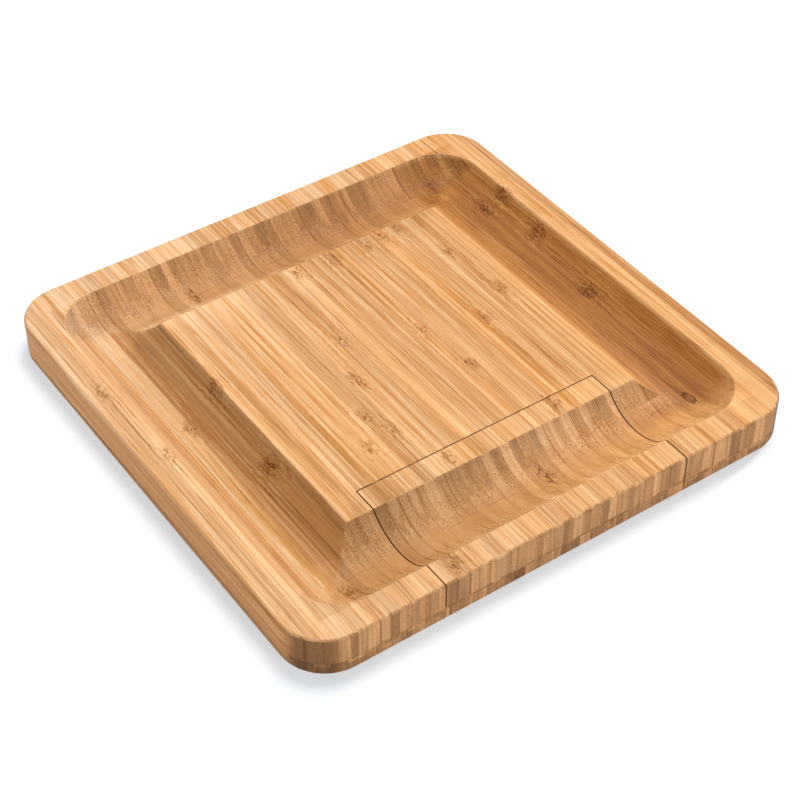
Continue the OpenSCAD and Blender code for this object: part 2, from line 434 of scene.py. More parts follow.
topToneAndLight = {
    # factors on the top of the board: painted sheen, paler at the left, the back and the rim, and painted
    # shade, browner at the right and darker in the moats
    "leftPaintedLighting": (1.04, 1.12, 1.32),
    "rightPaintedShade": (0.97, 0.92, 0.84),
    "backSheenFade": (-60.0, 150.0),
    "backSheenTint": (1.03, 1.09, 1.28),
    "rimSheenFade": (146.0, 150.0),
    "rimSheenTint": (1.02, 1.05, 1.12),
    "rightRimFade": (155.5, 159.0),
    "rightRimTint": (0.80, 0.79, 0.80),
    "moatShadeTint": (0.84, 0.74, 0.60),  # painted shade, darker at the bottom of the moat
    # painted shade in the right moat, below its rim
    "rightMoatShadeTint": (0.76, 0.69, 0.48),
    "rightMoatFade": (99.0, 107.0),
    "rightMoatDepth": (0.4, 2.5),
    "rightMoatMiddle": 14.0,
    "rightMoatEnds": (146.0, 129.0),
    "rightHairFade": (0.55, 0.38, 0.0, 0.5),
    "edgeSlack": 0.5,
    # painted light and shade in the moats, partly the wood's own tone: middle of a band, half its width,
    # and its factor, or the two at its ends
    "bandEnds": (-100.0, 70.0),
    "bandsAlong": (
        (-142, 5, (0.82, 0.80, 0.78)),
        (-128, 5, (1.08, 1.26, 1.52)),
        (-105.5, 7, (0.79, 0.76, 0.70)),
    ),
    "bandsAcross": (
        (122, 40, (1.12, 1.17, 1.24), (0.88, 0.84, 0.77)),
        (139, 8, (0.93, 0.90, 0.84)),
        (122, 11, (0.88, 0.86, 0.83)),
        (105, 6, (1.07, 1.14, 1.20)),
        (-110, 8, (1.06, 1.13, 1.22)),
        (-122, 40, (0.87, 0.86, 0.82), (1.12, 1.19, 1.29)),
    ),
    "mitre": 8.0,  # half the blend where two moats meet
    # single places of painted light and shade: middle and half width along X, the same along Y, and the
    # factor
    "patchDepth": (0.1, 1.2),
    "patches": (
        (94, 12, -112, 14, (0.86, 0.78, 0.68)),
        (-134, 15, 134, 15, (0.87, 0.90, 0.96)),
        (116, 13, 134, 20, (1.27, 1.30, 1.28)),
        (131, 5, 140, 11, (1.40, 1.48, 1.62)),
        (144, 7, 132, 9, (0.82, 0.78, 0.70)),
    ),
    "softShare": 0.4,  # of a half width, over which a band or a place ends to either side
    # thin broken line along the bottom of the moats that cross the grain
    "lineWander": 1.6,
    "lineHalf": 0.3,
    "lineCore": 0.3,
    "lineReach": 119.0,
    "lineDeep": 0.9,
    "lineLotFade": (0.3, 0.8, 0.15, 0.8),
}
seams = {
    # painted shade along the drawer's seams, where the gaps lie dark
    "x": 81.0,
    "y": -82.5,
    "half": 0.55,
    "tint": (0.28, 0.19, 0.11),
    "coreShare": 0.5,
    "sideShare": 0.75,
    "backShare": 0.3,
}
brownPowers = (1.15, 1.4)


def warmTone(tone):
    # the darker, the browner
    green, blue = brownPowers
    return point(tone, calc("POWER", tone, green), calc("POWER", tone, blue))


def readPlace():
    # values that the steps below share, beginning with the place and the direction that it faces
    place, normal = locate()
    facing = split(normal)
    at = SimpleNamespace()
    at.x, at.y, at.z = split(place)
    at.faceX, at.faceY, at.faceZ = [calc("ABSOLUTE", part) for part in facing]
    at.facesBack = calc("GREATER_THAN", facing[1], 0.0)
    at.fromMiddleX, at.fromMiddleY = calc("ABSOLUTE", at.x), calc("ABSOLUTE", at.y)
    at.under = minus(boardTop / mm, at.z)
    return at


def layStrips(at, seed, phase):
    # each strip draws its own lots, and the lower layer lies about half a strip aside
    lower = calc("LESS_THAN", at.z, strips["lowerLayer"])
    swing = centred(cloud(point(at.x, lower, seed * strips["seedStep"]), strips["wanderScale"]))
    fromLeft = weigh((at.x, 1.0), (swing, strips["wander"]), (1.0, boardHalf / mm + strips["start"]))
    count = weigh((fromLeft, 1 / strips["width"]), (lower, strips["layerShift"]), (1.0, phase))
    at.strip = weigh((calc("FLOOR", count), 1.0), (lower, strips["layerLots"]))
    at.across = centred(calc("FRACT", count))
    first = seed * strips["lotStep"]
    at.toneLot, at.knuckleLot, at.grainLot = drawLots(calc("ADD", at.strip, first))
    at.hueLot, at.endLot, at.lineLot = drawLots(calc("ADD", at.strip, first + 0.5))


def findMoats(at, boardTopFace):
    # how deep in a moat, and whether in one that crosses the grain
    slack = topToneAndLight["edgeSlack"]
    at.far = larger(at.fromMiddleX, at.fromMiddleY)
    at.inside = calc("LESS_THAN", at.far, (boardHalf - board["rimWidth"]) / mm + slack)
    at.inMoat = times(at.inside, 1.0 if boardTopFace else 0.0)
    at.deep = times(fade(at.under, slack, board["moatDepth"] / mm), at.inMoat)
    at.crossing = calc("GREATER_THAN", at.fromMiddleY, at.fromMiddleX)


def nearestOf(at, places, halves):
    # distance from the nearest knuckle's middle, with its rim at 1
    halfAcross, halfAlong = halves
    flat = point(calc("DIVIDE", at.x, halfAcross), calc("DIVIDE", at.y, halfAlong), 0.0)
    nearest = knuckles["none"]
    for strip, along in places:
        distance = newNode("VectorMath", flat, (middleOf(strip) / halfAcross, along / halfAlong, 0))
        distance.operation = "DISTANCE"
        nearest = calc("MINIMUM", distance.outputs["Value"], nearest)
    return nearest


def middleOf(strip):
    return (strip + 0.5) * strips["width"] - boardHalf / mm


def findKnuckles(at, boardTopFace):
    # a knuckle is a ragged blot, and the grain bends round it
    if boardTopFace:
        at.nearestDark = nearestOf(at, knuckles["darkPlaces"], knuckles["darkHalf"])
        nearestPale = nearestOf(at, knuckles["places"], knuckles["half"])
        nearest = calc("MINIMUM", nearestPale, at.nearestDark)
    else:
        halfAcross, halfAlong = knuckles["half"]
        along = minus(at.y, times(centred(at.knuckleLot), knuckles["run"]))
        nearest = lengthOf(times(at.across, strips["width"] / halfAcross), calc("DIVIDE", along, halfAlong))
    at.rag = centred(grainCloud(at.x, at.y, at.z, knuckles["rag"]))
    ragged = weigh((nearest, 1.0), (at.rag, knuckles["ragWeight"]))
    at.knuckle = fade(ragged, *knuckles["fade"])
    swirlX = times(at.x, knuckles["swirlAcross"])
    swirl = centred(grainCloud(swirlX, at.y, at.strip, knuckles["swirl"]))
    at.bend = times(swirl, fade(nearest, *knuckles["pullFade"]), knuckles["bend"])


def growFibres(at):
    # fibres run along Y, lively in some places and calm in others
    at.fibreX = weigh((at.x, 1.0), (at.bend, 1.0), (at.grainLot, fibres["shift"]))
    at.fibreY = times(at.y, fibres["alongShare"])
    at.fibreZ = times(at.z, fibres["heightShare"])
    wide = grainCloud(at.x, at.fibreY, at.fibreZ, fibres["wide"])
    middle = grainCloud(at.fibreX, at.fibreY, at.fibreZ, fibres["middle"])
    at.fine = grainCloud(at.fibreX, at.fibreY, at.fibreZ, fibres["fine"])
    grain = centred(fade(weigh(*zip((wide, middle, at.fine), fibres["weights"])), *fibres["grainFade"]))
    livelyPoint = point(times(at.x, fibres["livelyShare"]), at.fibreY, at.grainLot)
    lively = fade(cloud(livelyPoint, 1.0), *fibres["livelyFade"])
    ramp = newNode("ValToRGB", weigh((grain, lively), (1.0, 0.5)))
    stops = ramp.color_ramp.elements
    stops[0].position, stops[0].color = 0.0, (*fibres["streak"], 1)
    stops[1].position, stops[1].color = fibres["palePlace"], (*fibres["pale"], 1)
    stops.new(fibres["honeyPlace"]).color = (*fibres["honey"], 1)
    return ramp.outputs[0]


def toneStrips(at, colour, shade):
    # tone and hue of the strip, with dark and with white hairs
    tone = times(spread(at.toneLot, *strips["toneReach"]), shade)
    colour = scaleColour(colour, point(tone, tone, tone))
    colour = scaleColour(colour, tint(at.hueLot, *strips["hues"]))
    hairs = grainCloud(at.fibreX, at.fibreY, at.fibreZ, fibres["hairs"])
    at.hair = fade(hairs, *fibres["hairFade"])
    colour = stainAndShade(at.hair, colour, fibres["hairTint"])
    return tint(fade(hairs, *fibres["whiteFade"]), colour, fibres["white"])


def cutEndGrain(at, colour, shade):
    # where a moat crosses the grain it blurs, and where the surface faces along Y it is end grain,
    # which starts at another height in each strip
    blur = times(fade(at.deep, *endGrain["deepBlur"]), at.crossing)
    blur = larger(blur, fade(at.faceY, *endGrain["slopeBlur"]))
    slopeTone = warmTone(fade(at.endLot, *endGrain["slopeFade"]))
    colour = tint(blur, colour, scaleColour(endGrain["slope"], slopeTone))
    lobe = times(at.across, at.across, spread(at.lineLot, *endGrain["lobeReach"]))
    # surfaces facing back show less end grain: painted light where the back light falls
    at.cut = calc("POWER", at.faceY, weigh((at.facesBack, endGrain["backLitPower"]), (1.0, 1.0)))
    reach = weigh((at.cut, 1.0), (at.endLot, endGrain["lotWeight"]), (lobe, 1.0),
                  (at.rag, endGrain["ragWeight"]))
    at.endShare = fade(reach, *endGrain["fade"])
    bands = grainCloud(at.x, at.fibreY, times(at.z, endGrain["bandHeight"]), endGrain["bands"])
    tone = times(fade(at.endLot, *endGrain["toneFade"]), fade(bands, *endGrain["bandFade"]), shade)
    endColour = scaleColour(endGrain["colour"], warmTone(tone))
    endColour = scaleColour(endColour, tint(at.hueLot, *endGrain["hues"]))
    return tint(at.endShare, colour, endColour)


def addSpecks(at, colour):
    # the ends of the fibres show as dark and pale specks
    noise = grainCloud(at.x, at.y, at.z, specks["ends"])
    at.speckShare = fade(at.cut, *specks["cutFade"])
    at.speck = times(fade(noise, *specks["fade"]), at.speckShare)
    patches = fade(grainCloud(at.x, at.y, at.z, specks["patches"]), *specks["patchFade"])
    weight = times(spread(at.isWall, 1.0, specks["wallShare"]), patches)
    darkest, palest = specks["fade"][2:]
    dark, pale = fade(at.speck, 0.0, darkest), fade(at.speck, 0.0, palest)
    colour = stainAndShade(times(dark, weight), colour, specks["darkTint"])
    return stainAndShade(times(pale, weight), colour, specks["paleTint"])


def drawJoints(at, colour):
    # joints between strips and between layers, and the line where end grain begins
    lobeLine = fade(apart(at.endShare, 0.5), *endGrain["lobeLineFade"])
    lobeLine = times(lobeLine, fade(at.lineLot, *endGrain["lobeLotFade"]),
                     fade(at.deep, *endGrain["lobeDeepFade"]))
    stripLine = fade(calc("ABSOLUTE", at.across), *joints["fade"])
    stripLine = times(stripLine, fade(at.lineLot, *joints["lotFade"]),
                      spread(at.speckShare, *joints["cutReach"]),
                      spread(times(at.crossing, at.deep), *joints["moatReach"]))
    layerLine = fade(apart(at.z, strips["lowerLayer"]), *joints["layerFade"])
    layerLine = times(layerLine, at.isWall, joints["layerShare"])
    at.lines = larger(larger(stripLine, layerLine), lobeLine)
    return stainAndShade(at.lines, colour, fibres["hairTint"])


def toneWalls(at, colour):
    # the sides are browner than the top, most of all where a corner turns, and painted shade darkens the
    # left face
    colour = stainAndShade(at.isWall, colour, walls["tint"])
    fromLeft = calc("ADD", at.x, boardHalf / mm)
    # painted shade on the left face
    shadedLeftFace = times(at.isWall, fade(fromLeft, *walls["leftShadeFade"]))
    colour = stainAndShade(shadedLeftFace, colour, walls["leftPaintedLighting"])
    tone = spread(at.toneLot, *walls["toneReach"])
    colour = stainAndShade(at.isWall, colour, point(tone, tone, tone))
    corner = times(fade(times(at.faceX, at.faceY), *walls["cornerFade"]),
                   calc("LESS_THAN", at.faceZ, walls["cornerSteepness"]))
    return stainAndShade(corner, colour, walls["cornerTint"])


def stainKnuckles(at, colour, boardTopFace):
    # a knuckle is made of short dashes
    dashes = grainCloud(at.fibreX, at.y, at.z, knuckles["dashes"])
    share = times(at.knuckle, fade(dashes, *knuckles["dashFade"]))
    colour = stainAndShade(share, colour, knuckles["tint"])
    if boardTopFace:
        ragged = weigh((at.nearestDark, 1.0), (at.rag, knuckles["darkRagWeight"]))
        share = times(fade(ragged, *knuckles["darkFade"]),
                      fade(dashes, *knuckles["darkDashFade"]))
        colour = stainAndShade(share, colour, knuckles["darkTint"])
    return colour


def stainKnot(at, colour):
    middleX, along = middleOf(knot["strip"]), knot["along"]
    halfAcross, halfAlong = knot["half"]
    ring = lengthOf(calc("DIVIDE", minus(at.x, middleX), halfAcross),
                    calc("DIVIDE", minus(at.y, along), halfAlong))
    ring = weigh((ring, 1.0), (at.rag, knot["ragWeight"]))
    share = times(fade(ring, *knot["outerFade"]), fade(ring, *knot["innerFade"]))
    fromTail = apart(at.x, middleX - knot["tailAside"])
    behind = minus(at.y, along)
    tail = times(fade(fromTail, knot["tailHalf"], knot["tailHalf"] * knot["tailCore"]),
                 fade(behind, *knot["tailFade"]), fade(behind, knot["tailStart"], 0.0))
    return stainAndShade(larger(share, tail), colour, knot["tint"])


def paintTopLightAndShade(at, colour):
    # painted sheen: paler to the left, the back and the rim, browner to the right; painted shade deep in
    # the moats and in the right moat, which has dark hairs too; darker along the right edge
    edge = boardHalf / mm
    # painted sheen, paler at the left, and painted shade, browner at the right
    sideSheen = tint(fade(at.x, -edge, edge), topToneAndLight["leftPaintedLighting"], topToneAndLight["rightPaintedShade"])
    alongGrain = minus(1.0, larger(at.endShare, at.isWall))
    colour = stainAndShade(alongGrain, colour, sideSheen)
    # painted sheen at the back and on the rim
    inBackSheen = times(fade(at.y, *topToneAndLight["backSheenFade"]), alongGrain)
    colour = stainAndShade(inBackSheen, colour, topToneAndLight["backSheenTint"])
    onRimSheen = times(fade(at.far, *topToneAndLight["rimSheenFade"]), alongGrain)
    colour = stainAndShade(onRimSheen, colour, topToneAndLight["rimSheenTint"])
    # painted shade at the bottom of the moats
    colour = stainAndShade(at.deep, colour, topToneAndLight["moatShadeTint"])
    # painted shade in the right moat, below its rim; dark hairs follow there as well
    fromMiddle = apart(at.y, topToneAndLight["rightMoatMiddle"])
    inShadedRightMoat = times(fade(at.x, *topToneAndLight["rightMoatFade"]), fade(at.under, *topToneAndLight["rightMoatDepth"]),
                    fade(fromMiddle, *topToneAndLight["rightMoatEnds"]), at.inside)
    colour = stainAndShade(inShadedRightMoat, colour, topToneAndLight["rightMoatShadeTint"])
    inHairs = times(inShadedRightMoat, fade(at.fine, *topToneAndLight["rightHairFade"]))
    colour = stainAndShade(inHairs, colour, fibres["hairTint"])
    return stainAndShade(fade(at.x, *topToneAndLight["rightRimFade"]), colour, topToneAndLight["rightRimTint"])


def within(value, middle, half):
    soft = half * topToneAndLight["softShare"]
    return fade(apart(value, middle), half + soft, half - soft)


def paintBandLight(bands, place, along, share, colour):
    toEnd = fade(along, *topToneAndLight["bandEnds"])
    for middle, half, *factors in bands:
        inBand = times(within(place, middle, half), share)
        colour = stainAndShade(inBand, colour, tint(toEnd, factors[0], factors[-1]))
    return colour


# painted light and shade in bands along the moats and in single places, partly the wood's own tone
def paintMoatLightAndShade(at, colour):
    mitre = topToneAndLight["mitre"]
    beyond = minus(at.fromMiddleY, at.fromMiddleX)
    alongGrain = times(fade(beyond, mitre, -mitre), at.inMoat)
    colour = paintBandLight(topToneAndLight["bandsAlong"], at.x, at.y, alongGrain, colour)
    acrossGrain = times(fade(beyond, -mitre, mitre), at.inMoat)
    colour = paintBandLight(topToneAndLight["bandsAcross"], at.y, at.x, acrossGrain, colour)
    underRim = fade(at.under, *topToneAndLight["patchDepth"])
    for middleX, halfX, middleY, halfY, factor in topToneAndLight["patches"]:
        inPatch = times(within(at.x, middleX, halfX), within(at.y, middleY, halfY), underRim)
        colour = stainAndShade(inPatch, colour, factor)
    return colour


def drawMoatLine(at, colour):
    half = topToneAndLight["lineHalf"]
    wander = times(centred(at.toneLot), topToneAndLight["lineWander"])
    fromLine = calc("ADD", minus(at.fromMiddleY, moatMiddle / mm), wander)
    onLine = fade(calc("ABSOLUTE", fromLine), half, half * topToneAndLight["lineCore"])
    share = times(onLine, fade(at.grainLot, *topToneAndLight["lineLotFade"]),
                  calc("LESS_THAN", at.fromMiddleX, topToneAndLight["lineReach"]),
                  calc("GREATER_THAN", at.deep, topToneAndLight["lineDeep"]))
    return stainAndShade(share, colour, knuckles["tint"])


# painted shade along the drawer's seams
def drawSeamShade(at, colour):
    half = seams["half"]
    core = half * seams["coreShare"]
    side = times(fade(apart(at.fromMiddleX, seams["x"]), half, core),
                 calc("LESS_THAN", at.y, seams["y"] + half), seams["sideShare"])
    back = times(fade(apart(at.y, seams["y"]), half, core),
                 calc("LESS_THAN", at.fromMiddleX, seams["x"] + half), seams["backShare"])
    return stainAndShade(larger(side, back), colour, seams["tint"])


def bambooWood(name, seed, phase=0.0, shade=1.0, endShade=1.0, boardTopFace=False):
    material, shader = newMaterial(name)
    at = readPlace()
    at.isWall = fade(at.faceZ, *walls["fade"])
    layStrips(at, seed, phase)
    findMoats(at, boardTopFace)
    findKnuckles(at, boardTopFace)
    colour = toneStrips(at, growFibres(at), shade)
    colour = cutEndGrain(at, colour, shade * endShade)
    for step in (addSpecks, drawJoints, toneWalls):
        colour = step(at, colour)
    colour = stainKnuckles(at, colour, boardTopFace)
    if boardTopFace:
        for step in (stainKnot, paintTopLightAndShade, paintMoatLightAndShade, drawMoatLine, drawSeamShade):
            colour = step(at, colour)
    plug(shader.inputs["Base Color"], colour)
    rough = weigh((fade(at.fine, *fibres["roughFade"]), 1.0), (at.endShare, fibres["endRough"]))
    plug(shader.inputs["Roughness"], rough)
    plug(shader.inputs["Specular IOR Level"], fibres["sheen"])
    height = weigh(*zip((at.fine, at.hair, at.speck, at.lines), fibres["bumpWeights"]))
    roughen(shader, height, fibres["bumpStrength"], fibres["bumpDepth"])
    return material


# Brushed steel

steel = {
    "tone": (0.62, 0.62, 0.63),
    "worn": (0.54, 0.54, 0.55),
    "scratchScale": 3.0,  # per mm across the brushing
    "scratchDetail": 1.5,
    "alongShare": 0.008,
    "seedStep": (31, 7, 0),
    "smudgeScale": 0.12,
    "wornFade": (0.35, 0.65),
    "smudgeFade": (0.4, 0.7, 0.0, 0.3),
    "roughFade": (0.3, 0.7, 0.26, 0.34),
    "smudgeRoughFade": (0.4, 0.7, 0.0, 0.08),
    "bumpStrength": 0.1,
    "bumpDepth": 0.008 * mm,
}


def brushedSteel(name, seed, lengthwise):
    material, shader = newMaterial(name)
    place, slow = locate()[0], steel["alongShare"]
    speeds = (1, slow, 1) if lengthwise else (slow, 1, slow)
    aside = [seed * step for step in steel["seedStep"]]
    brush = newNode("Mapping", Vector=place, Scale=speeds, Location=aside)
    scratches = cloud(brush.outputs[0], steel["scratchScale"], steel["scratchDetail"])
    smudges = cloud(place, steel["smudgeScale"])
    colour = tint(fade(scratches, *steel["wornFade"]), steel["worn"], steel["tone"])
    colour = tint(fade(smudges, *steel["smudgeFade"]), colour, steel["worn"])
    plug(shader.inputs["Base Color"], colour)
    rough = calc("ADD", fade(scratches, *steel["roughFade"]),
                 fade(smudges, *steel["smudgeRoughFade"]))
    plug(shader.inputs["Roughness"], rough)
    plug(shader.inputs["Metallic"], 1.0)
    roughen(shader, scratches, steel["bumpStrength"], steel["bumpDepth"])
    return material


# Board blank

board = {
    "rimWidth": 17.5 * mm,
    "moatWidth": 49 * mm,
    "moatDepth": 12.2 * mm,
    "pathRadius": 4.5 * mm,  # corner radius of the moat's middle line
    "cornerRadius": 28 * mm,
    "edgeRound": 2 * mm,
    "cornerSteps": 14,
    "edgeSteps": 4,
    "moatSteps": 26,
    "sharpCorner": 0.01 * mm,
    "softEdge": 0.45 * mm,
    "stripEdge": 0.25 * mm,
    "edgeSegments": 2,
    "weld": 0.005 * mm,
    "flatAngle": 0.2,  # degrees, as is the next
    "sharpAngle": 35,
}
boardHalf = deckHigh.x
boardTop = deckHigh.z
moatMiddle = boardHalf - board["rimWidth"] - board["moatWidth"] / 2


def addRing(bm, half, radius, height):
    # a square ring with rounded corners
    radius = max(radius, board["sharpCorner"])
    verts = []
    for quarter in range(4):
        corner = Vector((half - radius, half - radius, height))
        centre = Matrix.Rotation(quarter * quarterTurn, 3, "Z") @ corner
        for step in range(board["cornerSteps"] + 1):
            angle = (quarter + step / board["cornerSteps"]) * quarterTurn
            verts.append(bm.verts.new(centre + radius * Vector((math.cos(angle), math.sin(angle), 0))))
    return [bm.edges.new((verts[i - 1], verts[i])) for i in range(len(verts))]


def boardSections():
    # half width, corner radius and height of each ring, from the underside to the raised square
    r = board["edgeRound"]
    sections = []
    for step in range(board["edgeSteps"] + 1):
        angle = step / board["edgeSteps"] * quarterTurn
        drawIn = r * (1 - math.sin(angle))
        sections.append((boardHalf - drawIn, board["cornerRadius"] - drawIn, r * (1 - math.cos(angle))))
    sections += [(half, radius, boardTop - height) for half, radius, height in reversed(sections)]
    halfMouth, depth = board["moatWidth"] / 2, board["moatDepth"]
    arcRadius = (halfMouth ** 2 + depth ** 2) / (2 * depth)
    widest = math.asin(halfMouth / arcRadius)
    for step in range(board["moatSteps"] + 1):
        angle = widest * (1 - 2 * step / board["moatSteps"])
        outward = arcRadius * math.sin(angle)
        height = boardTop - depth + arcRadius * (1 - math.cos(angle))
        sections.append((moatMiddle + outward, board["pathRadius"] + outward, height))
    return sections


def blankBoard():
    bm = bmesh.new()
    rings = [addRing(bm, *section) for section in boardSections()]
    for lower, upper in zip(rings, rings[1:]):
        bmesh.ops.bridge_loops(bm, edges=lower + upper)
    bmesh.ops.contextual_create(bm, geom=rings[0])
    bmesh.ops.contextual_create(bm, geom=rings[-1])
    bmesh.ops.remove_doubles(bm, verts=bm.verts, dist=board["sharpCorner"] * 2)
    bmesh.ops.recalc_face_normals(bm, faces=bm.faces)
    return bm


def sawOff(bm, place, outward):
    # cuts away what lies past a plane and closes the cut
    everything = bm.verts[:] + bm.edges[:] + bm.faces[:]
    cut = bmesh.ops.bisect_plane(bm, geom=everything, plane_co=place, plane_no=outward, clear_outer=True)
    edges = [e for e in cut["geom_cut"] if isinstance(e, bmesh.types.BMEdge)]
    if edges:
        bmesh.ops.edgeloop_fill(bm, edges=edges)


def sawnFromBlank(name, low, high):
    # the blank between two corners; None leaves that side whole
    bm = blankBoard()
    for axis in range(3):
        direction = Vector([float(axis == i) for i in range(3)])
        if low[axis] is not None:
            sawOff(bm, direction * low[axis], -direction)
        if high[axis] is not None:
            sawOff(bm, direction * high[axis], direction)
    bmesh.ops.recalc_face_normals(bm, faces=bm.faces)
    return newPiece(name, bm)


def roundOff(bm, edges, radius, steps, clamp=False):
    bmesh.ops.bevel(bm, geom=edges, offset=radius, affect="EDGES", segments=steps, profile=0.5,
                    material=-1, clamp_overlap=clamp)


def reachOf(edge, axis=2):
    return abs(edge.verts[0].co[axis] - edge.verts[1].co[axis])


def boxMesh(low, high):
    bm = bmesh.new()
    bmesh.ops.create_cube(bm, size=1)
    bmesh.ops.scale(bm, vec=high - low, verts=bm.verts)
    bmesh.ops.translate(bm, vec=(low + high) / 2, verts=bm.verts)
    return bm


def roundedBlock(low, high, radius=0.0, steps=1, name="block"):
    low, high = Vector(low), Vector(high)
    bm = boxMesh(low, high)
    if radius:
        roundOff(bm, [e for e in bm.edges if reachOf(e) > (high - low).z / 2], radius, steps)
    return newPiece(name, bm)


def join(piece, block, operation):
    # adds or takes away a block, which is used up
    carve = piece.modifiers.new("carve", "BOOLEAN")
    carve.operation = operation
    carve.solver = "EXACT"
    carve.object = block
    settle(piece)
    bpy.data.objects.remove(block)


def settle(piece):
    shaped = piece.evaluated_get(bpy.context.evaluated_depsgraph_get())
    mesh = bpy.data.meshes.new_from_object(shaped)
    piece.modifiers.clear()
    piece.data = mesh


def finishPiece(piece, body, node, material, softEdge=0.0, flushHeight=None,
                sharp=board["sharpAngle"]):
    bm = bmesh.new()
    bm.from_mesh(piece.data)
    bmesh.ops.remove_doubles(bm, verts=bm.verts, dist=board["weld"])
    flat, slack = math.radians(board["flatAngle"]), board["sharpCorner"]
    bmesh.ops.dissolve_limit(bm, angle_limit=flat, verts=bm.verts, edges=bm.edges)
    if softEdge:
        edges = []
        for edge in bm.edges:
            if len(edge.link_faces) != 2 or edge.calc_face_angle() < math.radians(sharp):
                continue
            # an edge in the glue line stays sharp
            if flushHeight is None or any(abs(v.co.z - flushHeight) > slack for v in edge.verts):
                edges.append(edge)
        roundOff(bm, edges, softEdge, board["edgeSegments"], True)
    for face in bm.faces:
        face.smooth = True
    for edge in bm.edges:
        edge.smooth = len(edge.link_faces) == 2 and edge.calc_face_angle() < math.radians(sharp)
    bm.to_mesh(piece.data)
    bm.free()
    piece.data.materials.clear()
    piece.data.materials.append(material)
    piece.modifiers.new("evenShading", "WEIGHTED_NORMAL").keep_sharp = True
    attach(piece, body)
    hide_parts(node)


# Boards and runners

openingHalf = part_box("right_runner")[1].x
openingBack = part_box("right_runner")[0].y
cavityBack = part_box("right_runner")[1].y
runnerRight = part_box("left_runner")[1].x
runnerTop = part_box("left_runner")[1].z
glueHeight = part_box("bottom_board")[1].z
past = 5 * mm  # how far a cut runs out of the wood
overlap = 1 * mm  # how far a block reaches into what it joins
near = 1 * mm  # what lies closer to an end belongs to it


def makeDeck(material):
    deck = sawnFromBlank("deckBoard", (None, None, glueHeight), (None, None, None))
    notch = roundedBlock((-openingHalf, -boardHalf - past, -past),
                         (openingHalf, openingBack, boardTop + past))
    join(deck, notch, "DIFFERENCE")
    cavityTop = trayTop + drawer["ceilingGap"]
    cavity = roundedBlock((-openingHalf, openingBack - past, -past),
                          (openingHalf, cavityBack, cavityTop))
    join(deck, cavity, "DIFFERENCE")
    finishPiece(deck, "board", "deck_board", material, board["softEdge"], glueHeight)


def makeBottom(material):
    bottom = sawnFromBlank("bottomBoard", (None, None, None), (None, None, glueHeight))
    notch = roundedBlock((-openingHalf, -boardHalf - past, -past), (openingHalf, openingBack, boardTop))
    join(bottom, notch, "DIFFERENCE")
    finishPiece(bottom, "board", "bottom_board", material, board["softEdge"], glueHeight)


def makeRunners(material):
    left = sawnFromBlank("leftRunner", (-openingHalf, None, None), (runnerRight, openingBack, runnerTop))
    back = roundedBlock((-openingHalf, openingBack - overlap, glueHeight),
                        (runnerRight, cavityBack, runnerTop))
    join(left, back, "UNION")
    finishPiece(left, "board", "left_runner", material, board["stripEdge"])
    right = roundedBlock(*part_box("right_runner"), name="rightRunner")
    finishPiece(right, "board", "right_runner", material, board["stripEdge"])


# Drawer

drawer = {
    "seamGap": 0.4 * mm,
    "slideGap": 0.3 * mm,
    "ceilingGap": 0.5 * mm,
    "trayThickness": 8.4 * mm,
    "pocketGap": 1.0 * mm,
    "pocketCorner": 5 * mm,
    "trenchWidth": 26 * mm,
    "trenchCorner": 10 * mm,
    "trenchWall": 10 * mm,
    "trenchPlaceShare": 0.45,
    "handleSteps": 10,
    "bladeSteps": 6,
    "trenchSteps": 8,
}
blockBack = openingBack - drawer["seamGap"]
drawerJoint = drawerLow.z
trayTop = drawerJoint + drawer["trayThickness"]
knifeNames = ("chisel", "spade", "fork", "slicer")


def makeDrawerTop(material):
    top = sawnFromBlank("drawerTop", (drawerLow.x, None, drawerJoint), (drawerHigh.x, blockBack, None))
    tray = roundedBlock((drawerLow.x, blockBack - overlap, drawerJoint),
                        (drawerHigh.x, drawerHigh.y, trayTop))
    join(top, tray, "UNION")

    def sink(low, high, radius, steps):
        hole = roundedBlock((*low, drawerJoint - past), (*high, trayTop + past), radius, steps)
        join(top, hole, "DIFFERENCE")

    gap, corner = drawer["pocketGap"], drawer["pocketCorner"]
    for name in knifeNames:
        handleLow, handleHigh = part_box(name + "_handle")
        bladeLow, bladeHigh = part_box(name + "_blade")
        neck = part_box(name + "_ferrule")[1].y
        half = (handleHigh.x - handleLow.x) / 2
        sink((handleLow.x - gap, handleLow.y - gap), (handleHigh.x + gap, neck + half + gap),
             half, drawer["handleSteps"])
        sink((bladeLow.x - gap, neck - corner), (bladeHigh.x + gap, bladeHigh.y + gap),
             corner, drawer["bladeSteps"])
    handleLow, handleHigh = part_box("chisel_handle")
    middle = handleLow.y + drawer["trenchPlaceShare"] * (handleHigh.y - handleLow.y)
    reach = drawerHigh.x - drawer["trenchWall"]
    half = drawer["trenchWidth"] / 2
    sink((-reach, middle - half), (reach, middle + half), drawer["trenchCorner"], drawer["trenchSteps"])
    finishPiece(top, "drawer", "drawer_top", material, board["softEdge"], drawerJoint)


def makeDrawerFloor(material):
    floor = sawnFromBlank("drawerFloor", (floorLow.x, None, floorLow.z),
                          (floorHigh.x, blockBack, drawerJoint))
    tray = roundedBlock((floorLow.x, blockBack - overlap, glueHeight + drawer["slideGap"]),
                        (-floorLow.x, floorHigh.y, drawerJoint))
    join(floor, tray, "UNION")
    finishPiece(floor, "drawer", "drawer_floor", material, board["softEdge"], drawerJoint)


# Knives

